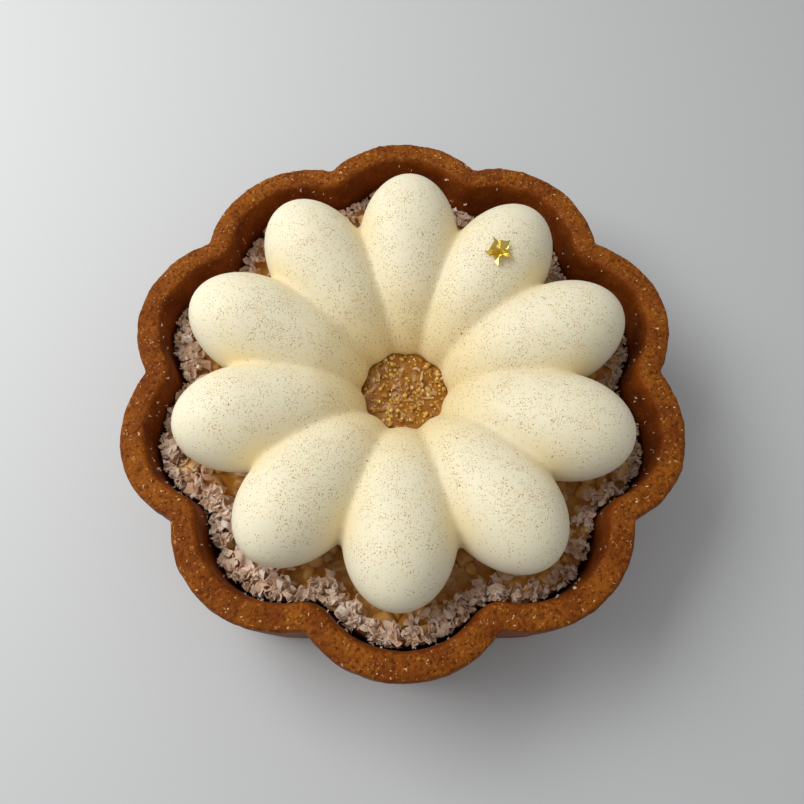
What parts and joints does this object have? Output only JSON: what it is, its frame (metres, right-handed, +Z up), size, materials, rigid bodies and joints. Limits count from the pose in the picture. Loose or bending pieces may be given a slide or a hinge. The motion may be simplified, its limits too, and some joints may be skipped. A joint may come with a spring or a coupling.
{
  "type": "almond tart",
  "caption": "Small almond tart: scalloped pastry shell, lumpy filling under curled shavings, a speckled mousse flower, a praline centre and a star of gold leaf.",
  "frame": {"origin": "middle of the tart's bounding box, on its flat base", "axes": "+Z up out of the flower, -Y towards the front lobe that is nearest the viewer, +X to the viewer's right"},
  "size_m": [0.0786, 0.0828, 0.0275],
  "materials": {
    "pastry": "baked, sandy and matt",
    "filling": "moist and satin",
    "mousse": "velvet sprayed, speckled",
    "praline": "granular and syrupy",
    "gold_leaf": "bright crumpled leaf"
  },
  "bodies": {
    "root": {"pastry_shell": "pastry", "almond_filling": "filling", "mousse_flower": "mousse", "praline_centre": "praline", "gold_star": "gold_leaf"}
  },
  "joints": []
}
